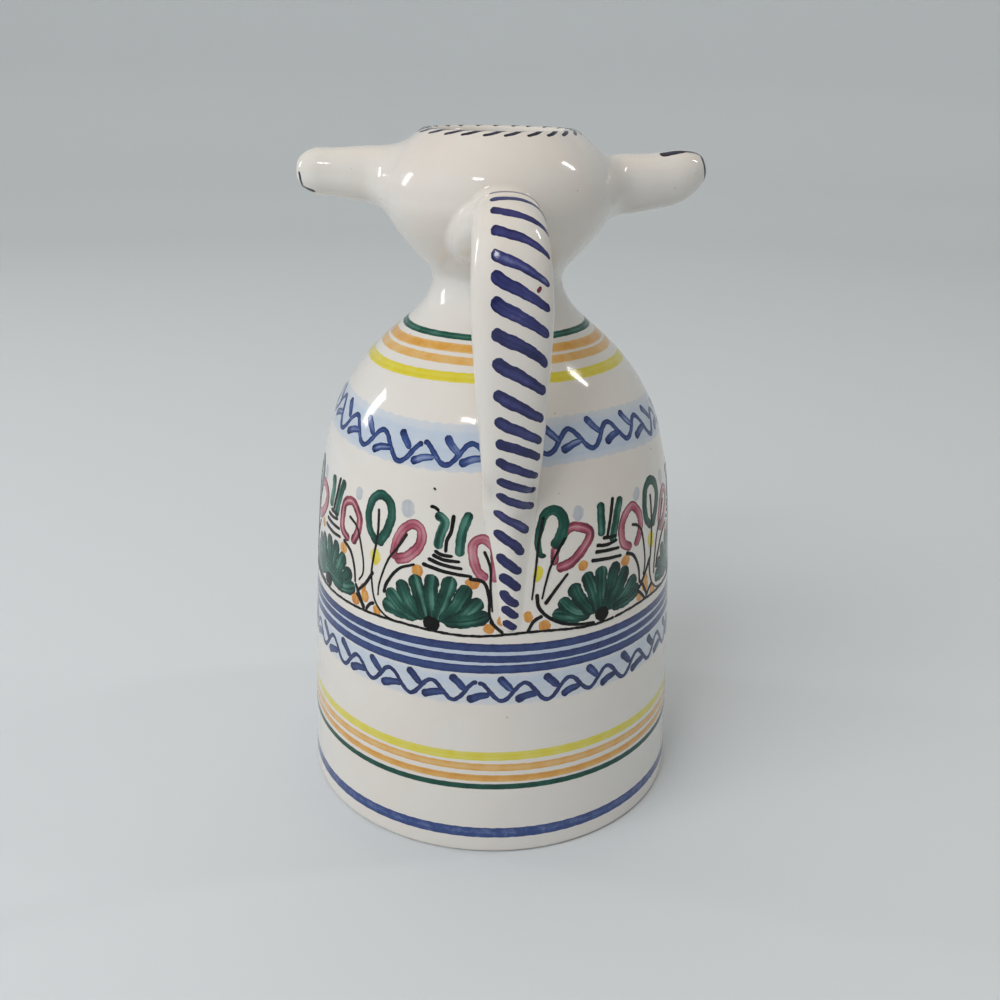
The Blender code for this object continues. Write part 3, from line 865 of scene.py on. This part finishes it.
# Flower frieze, in two versions that take turns. Places are sideways from a leaf's middle, and heights.
# A dot has its width and its height as well
LEAF_BEARINGS = (-21.8, 29.3, 72.5, 116.5, 160.5, 204.5, 249.0, 294.0)
LEAF_FOOT = 84.0
LEAF_TIPS = ((-18.2, 88.4), (-16.0, 93.4), (-11.6, 97.6), (-6.0, 100.4), (0.2, 101.8), (6.2, 101.2),
             (11.6, 98.6), (16.0, 94.4), (18.6, 89.2))
FLOWER_A = {
    "bud_taper": (0.85, 1.05),
    "arcs": (((-3.6, 103.9), (4.0, 101.9), (13.3, 101.0)), ((-1.9, 105.7), (3.5, 104.2), (9.9, 103.7)),
             ((-0.6, 107.2), (3.5, 105.9), (8.9, 105.6)), ((0.6, 108.5), (3.0, 107.5), (6.4, 107.1))),
    "blades": (((0.2, 120.6), (3.0, 118.0), (2.6, 113.0), (1.0, 108.8)),
               ((10.9, 121.6), (10.0, 115.0), (8.4, 108.0))),
    "black_blade": [((6.4, 120.6), (5.9, 115.5), (4.6, 112.0), (4.4, 108.4))],
    "green_bud": [((-20.4, 106.4), (-24.0, 110.5), (-24.6, 115.5), (-22.6, 120.6), (-19.4, 122.6),
                   (-15.8, 120.8), (-14.9, 116.5), (-16.8, 111.5), (-20.0, 106.6))],
    "pink_left": [((-13.6, 103.0), (-13.6, 107.4), (-11.4, 112.2), (-8.0, 115.6), (-4.8, 114.8),
                   (-3.6, 111.8), (-5.4, 108.0), (-9.4, 104.9), (-13.6, 103.0))],
    "pink_right": [((18.0, 100.2), (14.4, 103.4), (12.4, 108.4), (12.9, 112.2), (16.2, 113.4),
                    (19.0, 110.8), (20.2, 106.0), (19.8, 99.6))],
    "stems": (((-20.2, 118.2), (-20.4, 112.0), (-20.8, 106.4), (-22.0, 98.0), (-22.8, 93.0), (-21.2, 86.8),
               (-17.4, 83.2), (-12.0, 81.9)),
              ((-8.6, 112.4), (-12.2, 107.2), (-16.0, 102.0), (-18.8, 94.0), (-19.8, 88.8)),
              ((16.0, 109.6), (18.4, 104.4), (19.0, 97.8), (19.6, 89.4))),
    "tendrils": (((-17.8, 90.2), (-15.9, 94.6), (-11.4, 100.0), (-5.6, 103.0)),
                 ((12.0, 100.2), (16.3, 99.3), (18.3, 94.4), (18.9, 88.6), (19.6, 86.0))),
    "roots": (((-22.0, 96.4), (-25.6, 91.6), (-30.0, 86.9)), ((-30.0, 86.9), (-27.6, 84.6), (-26.0, 81.9)),
              ((-20.8, 86.2), (-23.6, 85.0), (-25.6, 81.8)), ((18.8, 86.6), (21.0, 84.4), (23.6, 82.2))),
    "orange": ((-5.0, 100.9, 4.0, 4.2), (13.0, 98.9, 4.6, 3.7), (-20.4, 83.4, 3.4, 3.6),
               (-25.8, 87.0, 3.3, 3.8), (18.6, 83.9, 3.8, 3.2), (22.6, 86.6, 3.2, 3.2)),
    "yellow": [(-21.2, 101.9, 4.2, 5.6)],
    "grey": ((-9.1, 120.3, 4.3, 4.8), (18.0, 119.2, 3.6, 4.8)),
}
FLOWER_B = {
    "bud_taper": (0.5, 1.35),
    "arcs": (((-4.1, 103.2), (2.1, 102.4), (8.6, 102.4)), ((-3.2, 106.0), (2.1, 105.2), (7.9, 105.1)),
             ((-2.2, 108.0), (2.1, 107.6), (6.2, 107.9)), ((0.3, 109.9), (3.2, 109.5), (6.3, 109.4))),
    "blades": (((0.3, 121.9), (0.4, 117.3), (-0.1, 110.6)), ((8.6, 122.4), (6.4, 116.8), (4.6, 108.2))),
    "black_blade": [((5.1, 122.4), (4.1, 117.3), (2.2, 110.1))],
    "green_bud": [((-19.6, 107.6), (-22.0, 108.2), (-21.8, 112.3), (-21.1, 116.7), (-19.5, 121.0),
                   (-16.6, 121.8), (-13.8, 119.6), (-14.0, 114.5), (-16.8, 109.6))],
    "pink_left": [((-17.5, 103.8), (-16.5, 109.5), (-13.3, 114.4), (-9.1, 115.7), (-4.6, 113.0),
                   (-6.2, 108.7), (-11.4, 104.2), (-16.6, 102.7))],
    "pink_right": [((13.8, 103.4), (10.0, 106.0), (8.9, 110.8), (10.2, 115.1), (14.6, 116.9),
                    (18.4, 112.7), (18.2, 107.4), (15.4, 103.0))],
    "stems": (((-19.6, 119.9), (-21.6, 112.3), (-23.3, 104.8), (-24.8, 92.8)),
              ((-13.1, 112.5), (-16.2, 108.0), (-18.3, 103.6), (-20.4, 98.3), (-21.3, 93.2)),
              ((13.5, 111.5), (17.3, 110.1), (19.6, 106.9), (21.2, 99.7), (21.6, 94.6), (20.0, 91.4))),
    "tendrils": (((-20.2, 91.1), (-16.5, 96.2), (-12.7, 101.2)),
                 ((10.7, 102.4), (15.1, 100.1), (17.8, 95.1), (18.2, 89.9))),
    "roots": (((-23.2, 95.0), (-22.5, 90.6), (-19.9, 87.0), (-15.0, 84.2), (-9.2, 82.5), (-2.8, 81.8)),
              ((-21.4, 87.6), (-24.5, 85.9), (-26.5, 81.9)), ((18.2, 89.9), (20.9, 87.2), (23.8, 82.6))),
    "orange": ((-7.2, 102.4, 3.6, 3.4), (10.7, 99.6, 4.0, 3.6), (22.4, 89.6, 2.8, 2.8),
               (18.8, 84.4, 4.0, 3.6), (-20.7, 84.0, 4.2, 3.8), (-26.0, 87.6, 2.8, 3.4)),
    "yellow": [(-22.6, 101.8, 3.2, 5.0)],
    "grey": ((-8.4, 119.7, 3.8, 4.6), (17.0, 120.4, 3.4, 3.8)),
}


def dot(canvas, bearing, place, strength, soft):
    sideways, height, width, tall = place
    grow = canvas.random.normal(1.12, 0.08)
    half = tall * grow / 2
    lean = canvas.random.normal(0, 0.4)
    path = ((sideways - lean, height + half), (sideways, height), (sideways + lean, height - half))
    canvas.stroke(BODY, on_body(bearing, path), width * grow, cap=half, strength=strength,
                  pools=(0.15, 0.35), ragged=0.07, soft=soft, spacing=0.3)


def paint_flowers():
    leaves = Canvas("flower_leaves", 0.05, 11, "green")
    buds = Canvas("green_buds", 0.08, 12, "green")
    pink = Canvas("pink_buds", 0.08, 13, "pink")
    lines = Canvas("flower_lines", 0.12, 14, "black")
    orange = Canvas("orange_dots", 0.03, 15, "orange")
    yellow = Canvas("yellow_dots", 0.03, 16, "yellow")
    grey = Canvas("grey_dots", 0.03, 17, "grey_wash")
    shake = np.random.default_rng(SEED)

    def paint(canvas, bearing, points, spread, width, **brush):
        """A stroke whose points are each a little off, as no two motifs are alike."""
        placed = [(x + shake.normal(0, spread), z + shake.normal(0, spread * 0.7)) for x, z in points]
        canvas.stroke(BODY, on_body(bearing, placed), width, **brush)

    for motif, bearing in enumerate(LEAF_BEARINGS):
        middle = radians(bearing)
        flower = (FLOWER_A, FLOWER_B)[motif % 2]
        under = ((-11.5, 86.6), (0, 88.4), (11.5, 86.6))
        leaves.stroke(BODY, on_body(middle, under), 7.0, strength=1.1, streak=0.16)
        for sideways, height in LEAF_TIPS:
            side = abs(sideways) / 18
            bend = LEAF_FOOT + 1 + (0.62 - 0.40 * side) * (height - LEAF_FOOT)
            path = ((0.25 * sideways, LEAF_FOOT + 1.2), (0.66 * sideways, bend), (sideways, height - 0.8))
            paint(leaves, middle, path, 0.3, 5.4, taper=(0.8, 1.0), strength=1.12, pools=(0.2, 0.15),
                  streak=0.26, ragged=0.06, edge=0.45)
        brushes = (
            (buds, "blades", 0.35, 3.2, {"strength": 0.95, "pools": (0.4, 0.2), "streak": 0.2}),
            (buds, "green_bud", 0.2, 3.4, {"taper": flower["bud_taper"], "strength": 1.08, "edge": 0.3}),
            (pink, "pink_left", 0.2, 3.6, {"taper": (0.8, 1.05), "streak": 0.22, "edge": 0.8}),
            (pink, "pink_right", 0.2, 3.2, {"strength": 0.95, "streak": 0.22, "edge": 0.8}),
            (lines, "arcs", 0.2, 1.25, {"taper": (1.1, 0.85), "strength": 1.35}),
            (lines, "black_blade", 0.2, 1.25, {"taper": (1.1, 0.9), "strength": 1.35}),
            (lines, "stems", 0.25, 0.75, {"taper": (1.4, 0.8), "strength": 1.25}),
            (lines, "tendrils", 0.25, 1.05, {"taper": (1.3, 0.8), "strength": 1.3}),
            (lines, "roots", 0.25, 1.05, {"taper": (1.25, 1.0), "strength": 1.3}),
        )
        for canvas, part, spread, width, brush in brushes:
            for points in flower[part]:
                paint(canvas, middle, points, spread, width, **brush)
        eye = ((-2.6, LEAF_FOOT + 0.4), (0.2, LEAF_FOOT + 0.2), (3.0, LEAF_FOOT - 0.4))
        paint(lines, middle, eye, 0.15, 4.8, cap=1.9, strength=1.4, ragged=0.09)
        dots = ((orange, "orange", 1.05, 0.2), (yellow, "yellow", 0.95, 0.2), (grey, "grey", 0.45, 0.5))
        for canvas, part, strength, soft in dots:
            for place in flower[part]:
                dot(canvas, middle, place, strength, soft)
    turns = linspace(0.6, 0.6 + 2 * pi, 260)
    ground = 81.7 + 0.45 * sin(turns * 8 + 0.5) + 0.2 * sin(turns * 11)
    lines.stroke(BODY, stack([turns, BODY.reach(ground)], 1), 0.9, strength=1.25, ragged=0.15, spacing=0.8)
    first = radians(LEAF_BEARINGS[0])
    lines.stroke(BODY, on_body(first, ((-1.6, 122.2), (0.0, 122.1), (1.6, 121.0))), 1.1, strength=1.3)
    lines.stroke(BODY, on_body(first, ((-0.9, 127.9), (-0.4, 127.6), (-0.1, 127.2))), 0.7, strength=0.7)
    splash = HANDLE.length[-1] - 47.6
    drop = ((0.66, splash + 0.6), (0.60, splash), (0.52, splash - 0.6))
    pink.stroke(HANDLE, drop, 1.1, strength=1.2)
    for canvas in (leaves, buds, pink, lines, orange, yellow, grey):
        canvas.finish()


RIM_DASHES = 24
# The dab at each spout's mouth: its angle round the spout, its distance back from the line round the mouth,
# its length and width, then the angles between which that line runs
MOUTH_DABS = {"left_spout": (-55, 0.5, 4.5, 2.4, -150, 0), "right_spout": (108, 6.0, 9.5, 4.0, 70, 280),
              "front_spout": (90, 3.0, 8.0, 3.6, 10, 250)}
MOUTH_LINE_RADII = (5.5, 3.6)


def paint_rim():
    """Slanting dashes over the lip, and a line with a dab round the mouth of every spout."""
    dashes = Canvas("rim_dashes", 0.05, 21, "cobalt_dark")
    crest = HEAD.length[-1] - 0.82 * pi * WALL_THICKNESS / 2
    for dash in range(RIM_DASHES):
        turn = 2 * pi * dash / RIM_DASHES + dashes.random.normal(0, 0.02)
        path = ((turn, crest - 2.9), (turn + 0.14, crest - 1.5), (turn + 0.28, crest + 0.9))
        dashes.stroke(HEAD, path, 1.4, taper=(0.8, 1.15), strength=1.1, spacing=0.3)
    dashes.finish()
    mouths = Canvas("spout_mouth_lines", 0.04, 23, "cobalt_dark")
    for name, (turn, back, length, width, first, last) in MOUTH_DABS.items():
        spout = SPOUT_SURFACES[name]
        turn, first, last = radians((turn, first, last))
        nose = spout.outline[:, 0] > spout.nose_start
        turns = linspace(first, last, 50)
        radii = interp(cos(turns - turn), (-1, 1), MOUTH_LINE_RADII[::-1])
        round_mouth = interp(-radii, -spout.outline[nose, 1], spout.length[nose])
        line_path = stack([turns, round_mouth], 1)
        mouths.stroke(spout, line_path, 1.2, strength=1.15, ragged=0.12, spacing=0.4)
        line = interp(-MOUTH_LINE_RADII[0], -spout.outline[nose, 1], spout.length[nose])
        dab = stack([np.full(8, turn), linspace(line - back - length, line - back, 8)], 1)
        mouths.stroke(spout, dab, width, cap=2.2, taper=(1.0, 0.5), strength=1.3, spacing=0.4)
        link = stack([np.full(8, turn), linspace(line - back - 1.5, line + 0.4, 8)], 1)
        mouths.stroke(spout, link, 1.2, strength=1.2, spacing=0.4)
    mouths.finish()


# Dashes down the handle, at lengths from its root: pitch, slant and width
DASH_PLACES = (20, 28, 39, 45, 52, 67, 75, 90, 102, 110, 136, 156)
DASH_PITCHES = (5.0, 4.7, 4.9, 6.0, 7.9, 8.4, 8.0, 5.9, 5.8, 8.8, 5.8, 4.4)
DASH_SLANTS = (1.0, 3.0, 7.2, 8.4, 9.2, 9.8, 9.0, 6.0, 6.8, 8.8, 5.6, 2.6)
DASH_WIDTHS = (1.6, 2.0, 2.6, 3.1, 3.5, 3.7, 3.5, 3.1, 2.9, 3.2, 3.2, 2.7)


def paint_handle():
    """Slanting dashes from the crown of the handle down to the end of its tail."""
    dashes = Canvas("handle_dashes", 0.05, 22, "cobalt_deep")
    total = HANDLE.length[-1]
    along = DASH_PLACES[0]
    while along < total - 2:
        slant = interp(along, DASH_PLACES, DASH_SLANTS)
        tail = smoothstep(105, 125, along)
        left, right = -0.50 - 0.28 * tail, 1.0 - 0.34 * tail + 0.4 * smoothstep(42, 24, along)
        up = total - along
        lean = dashes.random.normal(0, 0.25, 3)
        path = ((left, up + lean[0]), (left + 0.35 * (right - left), up - 0.36 * slant + lean[1]),
                (left + 0.7 * (right - left), up - 0.72 * slant + lean[1]), (right, up - slant + lean[2]))
        width = interp(along, DASH_PLACES, DASH_WIDTHS)
        end = interp(along, (25, 50, 150), (0.45, 0.72, 0.8))
        strength = interp(along, (40, 62, 105, 125), (1.15, 1.36, 1.36, 1.5))
        dashes.stroke(HANDLE, path, width, taper=(1.1, end), strength=strength, pools=(0.4, 0.4),
                      streak=0.14, edge=0.4)
        along += interp(along, DASH_PLACES, DASH_PITCHES)
    dashes.finish()


# Stage

FLOOR_PROFILE = ((900, 0), (1500, 0), (1800, 60), (2000, 260), (2080, 700), (2080, 2600))
FLOOR_STEPS = 96
FLOOR_COLOUR = (0.665, 0.702, 0.737, 1)
FLOOR_ROUGHNESS = 0.85
WORLD_COLOUR = (1.0, 0.82, 0.62, 1)
WORLD_STRENGTH = 0.375
LIGHT_AIM = Vector((0, 0, 0.14))
# Lamps: bearing, elevation, distance, size, power, colour and whether the glaze mirrors them
LIGHTS = {
    "soft_key": (-50, 40, 1.5, (1.1, 1.1), 12.5, (0.975, 0.985, 1), False),
    "backdrop_wash": (180, 62, 2.0, (2.4, 2.4), 11.2, (0.93, 1, 1), False),
    "ceiling_panel": (-27, 44, 1.7, (0.26, 0.10), 1.6, (1, 1, 1), True),
    "side_window": (-108, 20, 1.5, (0.16, 0.45), 1.8, (0.98, 0.99, 1), True),
    "far_window": (95, 45, 1.6, (0.08, 0.30), 1.4, (1, 0.98, 0.95), True),
}


def look_matrix():
    """The photograph's camera as a Blender matrix: right, up and backward axes, and its place."""
    spin = Matrix.Rotation(CAMERA_BEARING, 3, "Z")
    level = cos(CAMERA_PITCH)
    forward = Vector((sin(CAMERA_YAW) * level, cos(CAMERA_YAW) * level, -sin(CAMERA_PITCH)))
    right = Vector((cos(CAMERA_YAW), -sin(CAMERA_YAW), 0))
    down = forward.cross(right)
    rolled_right = right * cos(CAMERA_ROLL) + down * sin(CAMERA_ROLL)
    rolled_down = down * cos(CAMERA_ROLL) - right * sin(CAMERA_ROLL)
    axes = spin @ Matrix((rolled_right, -rolled_down, -forward)).transposed()
    place = spin @ Vector((0, -CAMERA_DISTANCE, CAMERA_HEIGHT)) * MM
    return Matrix.Translation(place) @ axes.to_4x4()


def make_camera():
    lens = bpy.data.cameras.new("photo_camera")
    lens.sensor_width = SENSOR
    lens.lens = SENSOR * PHOTO_FOCAL / PHOTO_SIZE
    lens.clip_start = 0.01
    camera = make_object("photo_camera", lens)
    camera.matrix_world = look_matrix()
    bpy.context.scene.camera = camera


def make_floor():
    """A pale floor that curves up into a backdrop, far enough off to be plain from every side."""
    rows = turned_rows(array(FLOOR_PROFILE, float), full_turn(FLOOR_STEPS))
    middle = len(rows) * FLOOR_STEPS
    faces = [(middle, side, (side + 1) % FLOOR_STEPS) for side in range(FLOOR_STEPS)]
    faces += ring_faces(rows)[:, ::-1].tolist()
    points = vstack([rows.reshape(-1, 3), [(0, 0, 0)]])
    floor = make_object("floor", make_mesh("floor", points, faces))
    material = bpy.data.materials.new("floor")
    material.use_nodes = True
    shader = material.node_tree.nodes["Principled BSDF"]
    shader.inputs["Base Color"].default_value = FLOOR_COLOUR
    shader.inputs["Roughness"].default_value = FLOOR_ROUGHNESS
    floor.data.materials.append(material)


def area_light(name, bearing, elevation, distance, size, power, colour, mirrored):
    """A lamp aimed at the jug. One that isn't mirrored gives soft light without a glint in the glaze."""
    lamp = bpy.data.lights.new(name, "AREA")
    lamp.shape = "RECTANGLE"
    lamp.size, lamp.size_y = size
    lamp.energy = power
    lamp.color = colour
    made = make_object(name, lamp)
    turn, rise = radians(bearing), radians(elevation)
    away = Vector((sin(turn) * cos(rise), -cos(turn) * cos(rise), sin(rise)))
    made.location = LIGHT_AIM + away * distance
    made.rotation_euler = (-away).to_track_quat("-Z", "Y").to_euler()
    made.visible_glossy = mirrored


def make_light():
    world = bpy.data.worlds.new("studio")
    world.use_nodes = True
    background = world.node_tree.nodes["Background"]
    background.inputs["Color"].default_value = WORLD_COLOUR
    background.inputs["Strength"].default_value = WORLD_STRENGTH
    bpy.context.scene.world = world
    for name, spec in LIGHTS.items():
        area_light(name, *spec)


def main():
    bpy.context.scene.view_settings.view_transform = "Standard"
    pieces = [(make_body(), WORN_GLAZE, "body"), (cut_bores(make_head()), GLAZE, "head"),
              (make_handle(), GLAZE, "handle")]
    pieces += [(make_spout(name), GLAZE, name) for name in SPOUTS]
    for piece, material, node in pieces:
        dress(piece, material)
        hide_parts(node)
    paint_rings()
    paint_wave_bands()
    paint_flowers()
    paint_rim()
    paint_handle()
    make_camera()
    make_floor()
    make_light()


main()
